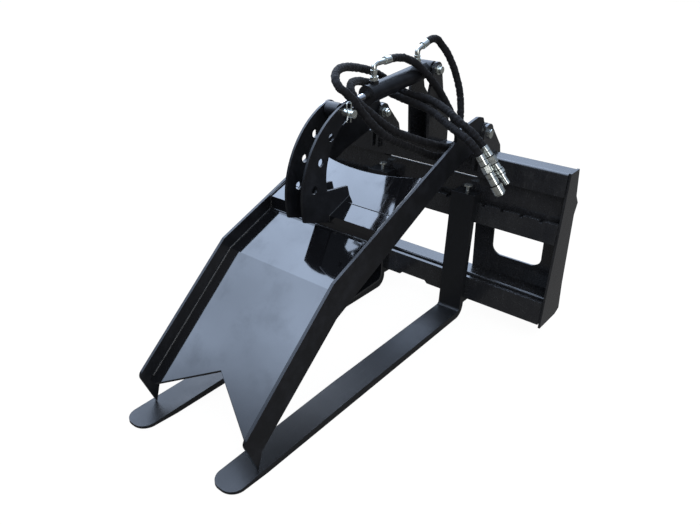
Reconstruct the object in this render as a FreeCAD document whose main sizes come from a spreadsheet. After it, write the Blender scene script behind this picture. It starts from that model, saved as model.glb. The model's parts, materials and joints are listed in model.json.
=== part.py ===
import FreeCAD, Part
import math
import os
import re
import Sketcher

# Fork grapple: a pallet-fork carriage with a hydraulic clamp arm, in millimetres.
# X runs across the carriage, Y from the fork tips to the machine, Z up from the ground.
# Depths are measured from the front face of the fork shanks, and "origin_depth" moves them
# to the middle of the part.

os.makedirs("parts", exist_ok=True)
doc = FreeCAD.newDocument("ForkGrapple")
sheet = doc.addObject("Spreadsheet::Sheet", "Sizes")

SIZES = {
    # Carriage frame
    "carriage_width": 1126, "carriage_height": 408, "rear_reach": 231, "frame_top": 672,
    "end_plate_thickness": 8, "end_plate_front": 40, "end_plate_foot": 60, "end_plate_heel": 54,
    "nose_depth": 181, "nose_level": 531, "notch_depth_rear": 148, "notch_level": 566,
    "waist_depth": 166, "waist_level": 488, "hip_depth": 205, "hip_level": 187,
    "heel_level": 68, "heel_depth": 195, "heel_radius": 8, "top_corner_depth": 118,
    "rail_thickness": 16, "lower_rail_bottom": 79, "upper_rail_height": 78,
    "rail_notch_pitch": 75, "rail_notch_width": 14, "rail_notch_depth": 9, "rail_notch_count": 7,
    "release_half_width": 56, "release_depth": 11,
    "flange_front": 28, "flange_thickness": 8, "flange_rear": 112, "flange_lip_level": 588,
    "hook_lip_depth": 140, "hook_lip_level": 600, "bend_radius": 8,
    "back_plate_depth": 66, "back_plate_thickness": 8, "back_plate_saddle": 571, "saddle_half_width": 225,
    "saddle_corner_radius": 20,
    "rail_web_thickness": 14,
    "ledge_front": 70, "ledge_rear": 150, "ledge_level": 173.5, "ledge_thickness": 8, "ledge_skirt": 100,
    "backing_bottom": 110, "backing_top": 158,
    # Machine mounting plates
    "mount_plate_thickness": 8, "mount_plate_inner": 205, "mount_plate_slope": 7, "mount_bend_level": 150,
    "mount_flange_depth": 222, "mount_flange_level": 74, "window_inner": 285, "window_outer": 487,
    "window_bottom": 255, "window_top": 412, "window_radius": 38, "weld_bevel": 3,
    "wedge_slot_spread": 400, "wedge_slot_length": 62, "wedge_slot_width": 26, "wedge_slot_shift": 4,
    "mount_toe_step": 6,
    # Forks and their lock pins
    "fork_spread": 195, "fork_width": 96, "fork_thickness": 28, "fork_length": 1220, "fork_top": 521,
    "fork_taper_start": 700, "fork_tip_top": 16, "fork_tip_bottom": 8, "fork_tip_bevel": 130,
    "fork_tip_radius": 42, "heel_outer_radius": 45, "heel_inner_radius": 14,
    "hook_lip_thickness": 17, "upper_hook_drop": 26, "lower_hook_thickness": 22, "lower_hook_rise": 8,
    "seat_gap": 0.3, "running_gap": 0.08,
    "lock_pin_radius": 6, "lock_pin_stand": 20, "lock_head_radius": 16, "lock_head_height": 5,
    # Clamp arm
    "arm_half_width": 231, "arm_plate_thickness": 10, "arm_tip_depth": 1112, "arm_tip_gap": 0.5,
    "arm_front_run": 48, "arm_front_level": 142, "arm_front_radius": 24,
    "knee_depth": 800, "knee_level": 478, "arm_top_depth": 166, "arm_top_level": 755,
    "arm_shoulder_depth": 173, "arm_shoulder_level": 787, "arm_crown_depth": 25, "arm_crown_level": 815,
    "arm_peak_depth": 14, "arm_peak_level": 808, "arm_crown_radius": 12,
    "arm_under_depth": 185, "arm_under_level": 643, "under_knee_depth": 783, "under_knee_level": 356,
    "under_front_run": 16, "under_front_level": 78, "arm_head_radius": 36, "hub_radius": 31,
    "hub_inner_stand": 0.7, "hub_outer_stand": 4.7, "hub_seat_depth": 4,
    "deck_thickness": 5, "deck_front_depth": 1126, "deck_front_level": 110, "deck_knee_depth": 778,
    "deck_knee_level": 437, "deck_top_depth": 588, "deck_top_level": 521,
    "vee_depth": 1030, "vee_half_width": 197,
    "step_level": 565, "deck_bend_depth": 519, "deck_bend_level": 593, "deck_end_depth": 335,
    "deck_end_level": 676, "scoop_radius": 678, "scoop_depth": 382,
    "belly_front_depth": 756, "belly_front_level": 376, "belly_tie_depth": 35, "belly_level": 388,
    "belly_thickness": 6, "belly_radius": 22, "deck_lap": 6, "belly_lap": 8,
    # Curved adjustment plates
    "adjuster_gap": 56, "adjuster_thickness": 8, "adjuster_hole_radius": 12.6,
    "adjuster_heel_depth": 705, "adjuster_heel_level": 575, "adjuster_foot_level": 541,
    "adjuster_crown_depth": 527, "adjuster_crown_level": 903, "adjuster_front_radius": 270,
    "adjuster_back_depth": 489, "adjuster_back_level": 868, "adjuster_waist_depth": 601,
    "adjuster_waist_level": 649, "adjuster_back_radius": 185, "adjuster_toe_run": 31,
    "adjuster_toe_level": 640, "adjuster_toe_rake": 11, "adjuster_crown_radius": 30,
    "hole_one_depth": 660, "hole_one_level": 667, "hole_two_depth": 632, "hole_two_level": 746,
    "hole_three_depth": 586, "hole_three_level": 813,
    "link_pin_depth": 530, "link_pin_level": 880, "link_pin_radius": 12.5, "link_pin_reach": 76,
    "link_head_radius": 20, "link_head_length": 10, "link_handle_radius": 6.5,
    "link_handle_reach": 28, "link_handle_drop": 30, "link_handle_bend": 8,
    "clip_wire_radius": 2, "clip_offset": 62, "clip_rise": 23, "clip_loop_radius": 11,
    "clip_leg_below": 26,
    # Arm pivots
    "pivot_depth": 43, "pivot_level": 748, "ear_thickness": 10, "ear_outer": 246, "ear_radius": 35,
    "ear_clear_gap": 5, "ear_inner_gap": 1, "ear_rear_depth": 157, "ear_rear_level": 685,
    "ear_tail_depth": 171, "ear_tail_run": 18, "ear_tail_level": 643, "ear_tail_foot": 628,
    "ear_front_foot": 612,
    "ear_front_width": 18, "pivot_bolt_radius": 10, "bolt_head_radius": 17, "bolt_head_height": 10,
    "nut_height": 16, "bolt_tail": 8, "washer_radius": 18.5, "washer_thickness": 3,
    # Cylinder tower and cylinder
    "tower_half_width": 45, "tower_plate_thickness": 10, "tower_pin_depth": -9, "tower_pin_level": 948,
    "tower_pin_radius": 12.5, "tower_pin_reach": 62, "tower_crown_radius": 27, "tower_front_depth": -32,
    "tower_front_level": 700, "tower_throat_depth": -54, "tower_throat_level": 872,
    "tower_back_depth": 42, "tower_back_level": 872, "tower_hip_depth": 83, "tower_hip_level": 834,
    "tower_waist_depth": 102, "tower_waist_level": 798, "tower_web_depth": 66, "tower_web_top": 836,
    "tower_web_thickness": 8, "tower_foot_run": 22, "tower_head_rim": 6, "tower_head_height": 6,
    "tower_ring_rim": 5, "tower_ring_height": 5,
    "barrel_radius": 30, "barrel_bore": 25, "barrel_start": 30, "barrel_length": 327,
    "barrel_cap": 22, "gland_length": 24, "gland_radius": 32, "rod_radius": 14, "piston_length": 30,
    "piston_travel_left": 96, "eye_radius": 27, "eye_width": 50, "rod_eye_width": 46, "rod_eye_radius": 24,
    "link_play": 4.7, "eye_neck_radius": 18, "eye_neck_start": 4, "gland_nut_length": 8,
    "piston_end_gap": 20, "rod_end_sink": 12, "port_boss_sink": 6,
    "front_port_place": 322, "rear_port_place": 68, "port_boss_radius": 15, "port_boss_height": 8,
    "fitting_hex_radius": 15, "fitting_hex_height": 12, "fitting_neck_radius": 9,
    "front_neck_height": 11.5, "rear_neck_height": 1, "elbow_radius": 9, "elbow_bend": 14,
    "elbow_rise": 17, "front_elbow_turn": 93, "rear_elbow_turn": 78, "front_elbow_reach": 60,
    "rear_elbow_reach": 33,
    "ferrule_radius": 13, "ferrule_length": 28, "collar_radius": 12, "collar_height": 10,
    # Hoses and couplers
    "hose_radius": 13.5, "crimp_radius": 15, "crimp_length": 38, "coupler_hex_radius": 17,
    "coupler_hex_length": 27, "male_body_radius": 15, "male_body_length": 50, "male_collar_radius": 18,
    "male_collar_length": 14, "male_nose_radius": 10.2, "male_nose_length": 32,
    "female_body_radius": 15.5, "female_length": 149, "female_bore_radius": 10.35,
    "female_bore_depth": 34, "sleeve_radius": 19.5, "sleeve_length": 33, "sleeve_setback": 4,
    "sleeve_gap": 0.05, "hose_lead": 50, "hose_tail": 42,
}

for row, (alias, size) in enumerate(SIZES.items(), start=1):
    sheet.set("A%d" % row, alias.replace("_", " "))
    sheet.set("B%d" % row, str(size))
    sheet.setAlias("B%d" % row, alias)
doc.recompute()


# Sizes that follow from the driving ones
origin_depth = "((fork_length - rear_reach) / 2)"
end_inner = "(carriage_width / 2 - end_plate_thickness)"
frame_span = "(carriage_width - 2 * end_plate_thickness)"
rail_front = "(fork_thickness + seat_gap)"
rail_rear = "(fork_thickness + seat_gap + rail_thickness)"
rail_top = "(lower_rail_bottom + carriage_height)"
upper_rail_bottom = "(lower_rail_bottom + carriage_height - upper_rail_height)"
hook_inner = "(fork_thickness + rail_thickness + 2 * seat_gap)"
hook_outer = "(fork_thickness + rail_thickness + 2 * seat_gap + hook_lip_thickness)"
lock_pin_depth = "(fork_thickness + seat_gap + rail_thickness / 2)"
arm_inner = "(arm_half_width - arm_plate_thickness)"
belly_rear = "(deck_top_depth - deck_thickness - belly_tie_depth)"
adjuster_toe = "(deck_bend_depth - adjuster_toe_run)"
blade_top_at_tip = ("(fork_thickness - (fork_thickness - fork_tip_top)"
                    " * (arm_tip_depth - fork_taper_start) / (fork_length - fork_taper_start))")


def bound(expression):
    """The expression with every name of the sheet spelled for another object."""
    return re.sub(r"[a-z]\w*", lambda word: "Sizes." + word.group() if word.group() in SIZES
                  else word.group(), str(expression))


def number(expression):
    """The value of an expression on the sheet."""
    return float(sheet.evalExpression(str(expression)))


def place(shape, x="0", y="0", z="0"):
    """Puts an object at a place measured from the fork faces and the ground."""
    shape.setExpression("Placement.Base.x", bound(x))
    shape.setExpression("Placement.Base.y", bound("%s + %s" % (origin_depth, y)))
    shape.setExpression("Placement.Base.z", bound(z))


def arc_between(start, end, radius, side):
    """An arc from start to end, and whether it runs against the outline."""
    chord = end.sub(start)
    half = chord.Length / 2
    across = FreeCAD.Vector(-chord.y, chord.x, 0).normalize()
    centre = start.add(end).multiply(0.5)
    centre = centre.add(across.multiply(side * math.sqrt(max(radius ** 2 - half ** 2, 0))))
    angle = [math.atan2(point.y - centre.y, point.x - centre.x) for point in (start, end)]
    circle = Part.Circle(centre, FreeCAD.Vector(0, 0, 1), radius)
    if side > 0:
        return Part.ArcOfCircle(circle, angle[0], angle[1]), False
    return Part.ArcOfCircle(circle, angle[1], angle[0]), True


def hold(sketch, kind, *terms):
    """Adds one constraint whose value is the last term, an expression on the sheet."""
    index = sketch.addConstraint(Sketcher.Constraint(kind, *terms[:-1], number(terms[-1])))
    sketch.setExpression("Constraints[%d]" % index, bound(terms[-1]))


def draw(sketch, outline):
    """Draws a closed outline. A point is (across, up), or (across, up, radius, side) where
    an arc leads to the next point, with its centre on the left (1) or right (-1)."""
    points = [FreeCAD.Vector(number(point[0]), number(point[1]), 0) for point in outline]
    ends = []
    for index, point in enumerate(outline):
        start = points[index]
        end = points[(index + 1) % len(points)]
        if len(point) == 2:
            edge = sketch.addGeometry(Part.LineSegment(start, end), False)
            ends.append((edge, 1, 2))
            continue
        arc, reverse = arc_between(start, end, number(point[2]), point[3])
        edge = sketch.addGeometry(arc, False)
        ends.append((edge, 2, 1) if reverse else (edge, 1, 2))
    for index, (edge, first, last) in enumerate(ends):
        following = ends[(index + 1) % len(ends)]
        sketch.addConstraint(Sketcher.Constraint("Coincident", edge, last, following[0], following[1]))
        hold(sketch, "DistanceX", -1, 1, edge, first, outline[index][0])
        hold(sketch, "DistanceY", -1, 1, edge, first, outline[index][1])
        if len(outline[index]) == 4:
            hold(sketch, "Radius", edge, outline[index][2])


def plate(label, outline, thickness, x="0", y="0", z="0", plane="YZ_Plane", holes=(), rounds=(), lean=None):
    """A plate cut to an outline: a sketch, its pad, and rounded corners where they are asked for."""
    body = doc.addObject("PartDesign::Body", label)
    body.Label = label
    sketch = body.newObject("Sketcher::SketchObject", label + "_outline")
    support = [feature for feature in body.Origin.OriginFeatures if feature.Role == plane][0]
    sketch.AttachmentSupport = [(support, "")]
    sketch.MapMode = "FlatFace"
    draw(sketch, outline)
    for across, up, radius in holes:
        centre = FreeCAD.Vector(number(across), number(up), 0)
        ring = sketch.addGeometry(Part.Circle(centre, FreeCAD.Vector(0, 0, 1), number(radius)), False)
        hold(sketch, "DistanceX", -1, 1, ring, 3, across)
        hold(sketch, "DistanceY", -1, 1, ring, 3, up)
        hold(sketch, "Radius", ring, radius)
    pad = body.newObject("PartDesign::Pad", label + "_pad")
    pad.Profile = sketch
    pad.setExpression("Length", bound(thickness))
    doc.recompute()
    for radius, corners in rounds:
        base = body.Tip
        spots = [(number(outline[corner][0]), number(outline[corner][1])) for corner in corners]
        fillet = body.newObject("PartDesign::Fillet", label + "_rounding")
        fillet.Base = (base, corner_edges(base.Shape, plane, spots))
        fillet.setExpression("Radius", bound(radius))
        doc.recompute()
    if lean is not None:
        body.Placement = FreeCAD.Placement(FreeCAD.Vector(), FreeCAD.Rotation(FreeCAD.Vector(1, 0, 0), 1))
        body.setExpression("Placement.Rotation.Angle", bound(lean))
    place(body, x, y, z)
    return body


def corner_edges(shape, plane, spots):
    """The names of the straight edges that run along the pad at the given corners."""
    axes = {"YZ_Plane": ("y", "z"), "XZ_Plane": ("x", "z"), "XY_Plane": ("x", "y")}[plane]
    names = []
    for index, edge in enumerate(shape.Edges, start=1):
        ends = [(getattr(v.Point, axes[0]), getattr(v.Point, axes[1])) for v in edge.Vertexes]
        if len(ends) != 2 or math.dist(ends[0], ends[1]) > 0.01:
            continue
        if any(math.dist(ends[0], spot) < 0.05 for spot in spots):
            names.append("Edge%d" % index)
    return names


TURN = {
    "x": FreeCAD.Rotation(FreeCAD.Vector(0, 1, 0), 90),
    "y": FreeCAD.Rotation(FreeCAD.Vector(1, 0, 0), -90),
    "z": FreeCAD.Rotation(),
}


def bar(label, axis, radius, length, x="0", y="0", z="0"):
    """A round bar along an axis, from its start."""
    solid = doc.addObject("Part::Cylinder", label)
    solid.Label = label
    solid.setExpression("Radius", bound(radius))
    solid.setExpression("Height", bound(length))
    solid.Placement.Rotation = TURN[axis]
    place(solid, x, y, z)
    return solid


def hexagon(label, axis, radius, length, x="0", y="0", z="0"):
    """A six-sided bar, such as a bolt's head or a nut."""
    solid = doc.addObject("Part::Prism", label)
    solid.Label = label
    solid.Polygon = 6
    solid.setExpression("Circumradius", bound(radius))
    solid.setExpression("Height", bound(length))
    solid.Placement.Rotation = TURN[axis]
    place(solid, x, y, z)
    return solid


def box(label, width, depth, height, x="0", y="0", z="0"):
    """A block with its low corner at x, y, z."""
    solid = doc.addObject("Part::Box", label)
    solid.Label = label
    solid.setExpression("Length", bound(width))
    solid.setExpression("Width", bound(depth))
    solid.setExpression("Height", bound(height))
    place(solid, x, y, z)
    return solid


def joined(label, *solids):
    """One solid, or one group, from several."""
    whole = doc.addObject("Part::MultiFuse", label)
    whole.Label = label
    whole.Shapes = list(solids)
    doc.recompute()
    return whole


def without(label, base, *tools):
    """The base with the tools cut out of it."""
    tool = tools[0] if len(tools) == 1 else joined(label + "_tools", *tools)
    rest = doc.addObject("Part::Cut", label)
    rest.Label = label
    rest.Base = base
    rest.Tool = tool
    doc.recompute()
    return rest


def shared(label, *solids):
    """What several solids have in common."""
    part = doc.addObject("Part::MultiCommon", label)
    part.Label = label
    part.Shapes = list(solids)
    doc.recompute()
    return part


nodes = []


def node(solid):
    """Keeps a finished sub-part for export."""
    nodes.append(solid)
    return solid


def minus(expression):
    return "(-(%s))" % expression


# Forks: the side view and the plan are cut from one bar
def fork(side, sign):
    profile = [
        ("0", "fork_top"),
        ("0", "fork_thickness"),
        ("-fork_taper_start", "fork_thickness"),
        ("-fork_length", "fork_tip_top"),
        ("-fork_length", "fork_tip_bottom"),
        ("-fork_length + fork_tip_bevel", "0"),
        ("fork_thickness", "0"),
        ("fork_thickness", "lower_rail_bottom - seat_gap - lower_hook_thickness"),
        (hook_outer, "lower_rail_bottom - seat_gap - lower_hook_thickness"),
        (hook_outer, "lower_rail_bottom + lower_hook_rise"),
        (hook_inner, "lower_rail_bottom + lower_hook_rise"),
        (hook_inner, "lower_rail_bottom - seat_gap"),
        ("fork_thickness", "lower_rail_bottom - seat_gap"),
        ("fork_thickness", rail_top + " + seat_gap"),
        (hook_inner, rail_top + " + seat_gap"),
        (hook_inner, rail_top + " - upper_hook_drop"),
        (hook_outer, rail_top + " - upper_hook_drop"),
        (hook_outer, "fork_top"),
    ]
    middle = "%d * fork_spread" % sign
    low_side = middle + " - fork_width / 2"
    profile_bar = plate("fork_%s_profile" % side, profile, "fork_width", x=low_side,
                        rounds=[("heel_inner_radius", [1]), ("heel_outer_radius", [6])])
    plan = [
        ("fork_width / 2", "-fork_length"),
        ("fork_width / 2", hook_outer + " + 10"),
        ("-fork_width / 2", hook_outer + " + 10"),
        ("-fork_width / 2", "-fork_length"),
    ]
    plan_bar = plate("fork_%s_plan" % side, plan, "fork_top + 10", x=middle, z="-5", plane="XY_Plane",
                     rounds=[("fork_tip_radius", [0, 3])])
    blank = shared("fork_%s_blank" % side, profile_bar, plan_bar)
    hole = bar("fork_%s_pin_hole" % side, "z", "lock_pin_radius + running_gap",
               "fork_top - %s + 2" % rail_top, x=middle, y=lock_pin_depth, z=rail_top + " - 1")
    node(without("fork_%s" % side, blank, hole))
    stem_start = rail_top + " + 1"
    stem_length = "fork_top + lock_pin_stand + 1 - (%s)" % stem_start
    stem = bar("lock_stem_%s" % side, "z", "lock_pin_radius", stem_length, x=middle, y=lock_pin_depth,
               z=stem_start)
    head = bar("lock_head_%s" % side, "z", "lock_head_radius", "lock_head_height", x=middle,
               y=lock_pin_depth, z="fork_top + lock_pin_stand")
    node(joined("lock_pin_%s" % side, stem, head))


# Carriage frame
def end_plate(side, start):
    outline = [
        ("end_plate_front", "frame_top"),
        ("end_plate_front", "end_plate_foot"),
        ("heel_depth", "end_plate_heel"),
        ("rear_reach", "heel_level"),
        ("hip_depth", "hip_level"),
        ("waist_depth", "waist_level"),
        ("nose_depth", "nose_level"),
        ("notch_depth_rear", "notch_level"),
        ("top_corner_depth", "frame_top"),
    ]
    node(plate("end_plate_" + side, outline, "end_plate_thickness", x=start, rounds=[("heel_radius", [2])]))


def rails():
    notch_half = "rail_notch_width / 2"
    top = rail_top
    blank = box("upper_rail_bar", frame_span, "rail_thickness", "upper_rail_height", x=minus(end_inner),
                y=rail_front, z=upper_rail_bottom)
    tools = []
    for sign in (-1, 1):
        for place_number in range(int(number("rail_notch_count"))):
            middle = "%d * (fork_spread + (%d - 2) * rail_notch_pitch)" % (sign, place_number)
            tools.append(box("rail_notch_%d_%d" % (sign + 2, place_number), "rail_notch_width",
                             "rail_thickness + 2", "rail_notch_depth + 1", x=middle + " - " + notch_half,
                             y=rail_front + " - 1", z=top + " - rail_notch_depth"))
    node(without("upper_fork_rail", blank, *tools))
    outline = [
        (minus(end_inner), "ledge_level"),
        (minus(end_inner), "lower_rail_bottom"),
        ("-release_half_width - release_depth", "lower_rail_bottom"),
        ("-release_half_width", "lower_rail_bottom + release_depth"),
        ("release_half_width", "lower_rail_bottom + release_depth"),
        ("release_half_width + release_depth", "lower_rail_bottom"),
        (end_inner, "lower_rail_bottom"),
        (end_inner, "ledge_level"),
    ]
    node(plate("lower_fork_rail", outline, "rail_thickness", y=rail_rear, plane="XZ_Plane"))
    node(box("upper_rail_web", frame_span, "back_plate_depth - (%s)" % rail_rear, "rail_web_thickness",
             x=minus(end_inner), y=rail_rear, z=upper_rail_bottom))
    node(box("lower_rail_backing", frame_span, "ledge_front - (%s)" % rail_rear,
             "backing_top - backing_bottom", x=minus(end_inner), y=rail_rear, z="backing_bottom"))


def sheet_metal():
    flange = [
        ("flange_front", "flange_lip_level"),
        ("flange_front", "frame_top"),
        ("flange_rear", "frame_top"),
        ("hook_lip_depth", "hook_lip_level"),
        ("hook_lip_depth - flange_thickness", "hook_lip_level - 2"),
        ("flange_rear - flange_thickness * 0.7", "frame_top - flange_thickness"),
        ("flange_front + flange_thickness", "frame_top - flange_thickness"),
        ("flange_front + flange_thickness", "flange_lip_level"),
    ]
    node(plate("top_flange", flange, frame_span, x=minus(end_inner), rounds=[("bend_radius", [1, 2])]))
    back = [
        (minus(end_inner), upper_rail_bottom),
        (end_inner, upper_rail_bottom),
        (end_inner, "frame_top - flange_thickness"),
        ("saddle_half_width", "frame_top - flange_thickness"),
        ("saddle_half_width", "back_plate_saddle"),
        ("-saddle_half_width", "back_plate_saddle"),
        ("-saddle_half_width", "frame_top - flange_thickness"),
        (minus(end_inner), "frame_top - flange_thickness"),
    ]
    node(plate("back_plate", back, "back_plate_thickness", y="back_plate_depth + back_plate_thickness",
               plane="XZ_Plane", rounds=[("saddle_corner_radius", [4, 5])]))
    ledge = [
        ("ledge_front", "ledge_skirt"),
        ("ledge_front", "ledge_level"),
        ("ledge_rear", "ledge_level"),
        ("ledge_rear", "ledge_level - ledge_thickness"),
        ("ledge_front + ledge_thickness", "ledge_level - ledge_thickness"),
        ("ledge_front + ledge_thickness", "ledge_skirt"),
    ]
    node(plate("lower_ledge", ledge, frame_span, x=minus(end_inner), rounds=[("bend_radius", [1])]))


def mount_plate(side, sign):
    def face(level):
        return "(ledge_rear - ((%s) - ledge_level) * tan(mount_plate_slope * 1deg))" % level

    wall = "(mount_plate_thickness / cos(mount_plate_slope * 1deg))"
    top = "(frame_top - flange_thickness)"
    section = [
        (face(top), top),
        (face("mount_bend_level"), "mount_bend_level"),
        ("mount_flange_depth - mount_toe_step", "mount_flange_level - mount_toe_step"),
        ("mount_flange_depth", "mount_flange_level"),
        (face("mount_bend_level + 4") + " + " + wall, "mount_bend_level + 4"),
        (face(top + " - weld_bevel") + " + " + wall, top + " - weld_bevel"),
        (face(top) + " + " + wall + " - weld_bevel", top),
    ]
    width = "(%s - mount_plate_inner)" % end_inner
    start = "mount_plate_inner" if sign > 0 else minus(end_inner)
    bent = plate("mount_plate_%s_section" % side, section, width, x=start)
    window = [
        ("window_inner", "window_bottom"),
        ("window_outer", "window_bottom"),
        ("window_outer", "window_top"),
        ("window_inner", "window_top"),
    ]
    if sign < 0:
        window = [("-" + across, up) for across, up in window]
    hole = plate("mount_window_" + side, window, "120", y="190", plane="XZ_Plane",
                 rounds=[("window_radius", [0, 1, 2, 3])])
    slot_middle = "(%s + mount_flange_depth) / 2 + wedge_slot_shift" % face("mount_bend_level")
    slot = box("wedge_slot_" + side, "wedge_slot_length", "wedge_slot_width", "80",
               x="%d * wedge_slot_spread - wedge_slot_length / 2" % sign,
               y=slot_middle + " - wedge_slot_width / 2",
               z="mount_flange_level - 10")
    node(without("mount_plate_" + side, bent, hole, slot))


# Arm pivots: two ears on each side, the bolt and its nut
def pivot(side, sign):
    lip_run = "((hook_lip_depth - flange_rear) / (frame_top - hook_lip_level))"

    def lip(level):
        return "(flange_rear + (frame_top - (%s)) * %s)" % (level, lip_run)

    outline = [
        ("pivot_depth - ear_radius", "pivot_level", "ear_radius", -1),
        ("pivot_depth + ear_radius * cos(25deg)", "pivot_level + ear_radius * sin(25deg)"),
        ("ear_rear_depth", "ear_rear_level"),
        ("ear_tail_depth", "ear_tail_level"),
        ("ear_tail_depth - ear_tail_run", "ear_tail_foot"),
        (lip("ear_tail_foot"), "ear_tail_foot"),
        ("flange_rear", "frame_top"),
        ("flange_front", "frame_top"),
        ("flange_front", "ear_front_foot"),
        ("flange_front - ear_front_width", "ear_front_foot"),
        ("flange_front - ear_front_width", "frame_top"),
    ]
    hole = [("pivot_depth", "pivot_level", "pivot_bolt_radius + running_gap")]
    gap = "(arm_plate_thickness + ear_clear_gap + ear_inner_gap)"
    ears = []
    for name, offset in (("outer", "0"), ("inner", "ear_thickness + " + gap)):
        far = "(ear_outer - (%s))" % offset
        start = far + " - ear_thickness" if sign > 0 else minus(far)
        ears.append(plate("pivot_ear_%s_%s" % (name, side), outline, "ear_thickness", x=start, holes=hole))
    node(joined("pivot_ears_" + side, *ears))
    stack = "(2 * ear_thickness + %s)" % gap
    low = "(ear_outer - %s)" % stack
    tail = "(washer_thickness + nut_height + bolt_tail)"
    shaft_start = low + " - " + tail if sign > 0 else minus("ear_outer")
    shaft = bar("pivot_shaft_" + side, "x", "pivot_bolt_radius", stack + " + " + tail, x=shaft_start,
                y="pivot_depth", z="pivot_level")
    head_start = "ear_outer" if sign > 0 else "-ear_outer - bolt_head_height"
    head = hexagon("pivot_head_" + side, "x", "bolt_head_radius", "bolt_head_height", x=head_start,
                   y="pivot_depth", z="pivot_level")
    node(joined("pivot_bolt_" + side, shaft, head))
    washer_start = low + " - washer_thickness" if sign > 0 else minus(low)
    nut_start = low + " - washer_thickness - nut_height" if sign > 0 else minus(low) + " + washer_thickness"
    washer = bar("pivot_washer_" + side, "x", "washer_radius", "washer_thickness", x=washer_start,
                 y="pivot_depth", z="pivot_level")
    nut = hexagon("pivot_hex_" + side, "x", "bolt_head_radius", "nut_height", x=nut_start, y="pivot_depth",
                  z="pivot_level")
    bore = bar("pivot_thread_" + side, "x", "pivot_bolt_radius", "nut_height + washer_thickness + 4",
               x=(nut_start if sign > 0 else washer_start) + " - 2", y="pivot_depth", z="pivot_level")
    node(without("pivot_nut_" + side, joined("pivot_nut_blank_" + side, washer, nut), bore))


# Tower that carries the cylinder
def tower():
    reach = "tower_crown_radius * cos(8deg)"
    lift = "tower_crown_radius * sin(8deg)"
    outline = [
        ("flange_front", "frame_top"),
        ("flange_front - tower_foot_run", "frame_top"),
        ("tower_front_depth", "tower_front_level"),
        ("tower_throat_depth", "tower_throat_level"),
        ("tower_pin_depth - " + reach, "tower_pin_level + " + lift, "tower_crown_radius", -1),
        ("tower_pin_depth + " + reach, "tower_pin_level + " + lift),
        ("tower_back_depth", "tower_back_level"),
        ("tower_hip_depth", "tower_hip_level"),
        ("tower_waist_depth", "tower_waist_level"),
        ("flange_rear", "frame_top"),
    ]
    hole = [("tower_pin_depth", "tower_pin_level", "tower_pin_radius + running_gap")]
    for side, start in (("left", "-tower_half_width"), ("right", "tower_half_width - tower_plate_thickness")):
        node(plate("tower_plate_" + side, outline, "tower_plate_thickness", x=start, holes=hole))
    inside = "(tower_half_width - tower_plate_thickness)"
    node(box("tower_web", "2 * " + inside, "tower_web_thickness", "tower_web_top - frame_top",
             x=minus(inside), y="tower_web_depth", z="frame_top"))
    shaft = bar("tower_pin_shaft", "x", "tower_pin_radius", "tower_half_width + tower_pin_reach",
                x="-tower_half_width", y="tower_pin_depth", z="tower_pin_level")
    head = bar("tower_pin_head", "x", "tower_pin_radius + tower_head_rim", "tower_head_height",
               x="-tower_half_width - tower_head_height", y="tower_pin_depth", z="tower_pin_level")
    ring = bar("tower_pin_ring", "x", "tower_pin_radius + tower_ring_rim", "tower_ring_height",
               x="tower_half_width", y="tower_pin_depth", z="tower_pin_level")
    node(joined("tower_pin", shaft, head, ring))


# Clamp arm
def deck_slope(level_a, depth_a, level_b, depth_b):
    return "((%s - %s) / (%s - %s))" % (level_b, level_a, depth_a, depth_b)


def arm_plate(side, start):
    outline = [
        ("-arm_tip_depth", blade_top_at_tip + " + arm_tip_gap"),
        ("-arm_tip_depth - arm_front_run", "arm_front_level"),
        ("-knee_depth", "knee_level"),
        ("-arm_top_depth", "arm_top_level"),
        ("-arm_shoulder_depth", "arm_shoulder_level"),
        ("-arm_crown_depth", "arm_crown_level"),
        ("arm_peak_depth", "arm_peak_level"),
        ("pivot_depth - arm_head_radius * sin(20deg)", "pivot_level + arm_head_radius * cos(20deg)",
         "arm_head_radius", -1),
        ("pivot_depth + arm_head_radius", "pivot_level", "arm_head_radius", -1),
        ("pivot_depth - arm_head_radius * sin(10deg)", "pivot_level - arm_head_radius * cos(10deg)"),
        ("-arm_under_depth", "arm_under_level"),
        ("-under_knee_depth", "under_knee_level"),
        ("-arm_tip_depth + under_front_run", "under_front_level"),
    ]
    hole = [("pivot_depth", "pivot_level", "hub_radius - hub_seat_depth")]
    blank = plate("arm_plate_" + side, outline, "arm_plate_thickness", x=start, holes=hole,
                  rounds=[("arm_front_radius", [1]), ("arm_crown_radius", [5, 6])])
    node(blank)


def arm_hub(side, sign):
    length = "(arm_plate_thickness + hub_inner_stand + hub_outer_stand)"
    start = arm_inner + " - hub_inner_stand" if sign > 0 else "-arm_half_width - hub_outer_stand"
    plate_start = arm_inner if sign > 0 else "-arm_half_width"
    outer = bar("arm_hub_tube_" + side, "x", "hub_radius", length, x=start, y="pivot_depth", z="pivot_level")
    bore = bar("arm_hub_bore_" + side, "x", "pivot_bolt_radius + running_gap", length + " + 2",
               x=start + " - 1", y="pivot_depth", z="pivot_level")
    groove_outer = bar("arm_hub_seat_" + side, "x", "hub_radius + 1", "arm_plate_thickness", x=plate_start,
                       y="pivot_depth", z="pivot_level")
    groove_inner = bar("arm_hub_spigot_" + side, "x", "hub_radius - hub_seat_depth", "arm_plate_thickness",
                       x=plate_start, y="pivot_depth", z="pivot_level")
    groove = without("arm_hub_groove_" + side, groove_outer, groove_inner)
    node(without("arm_hub_" + side, outer, bore, groove))


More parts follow.
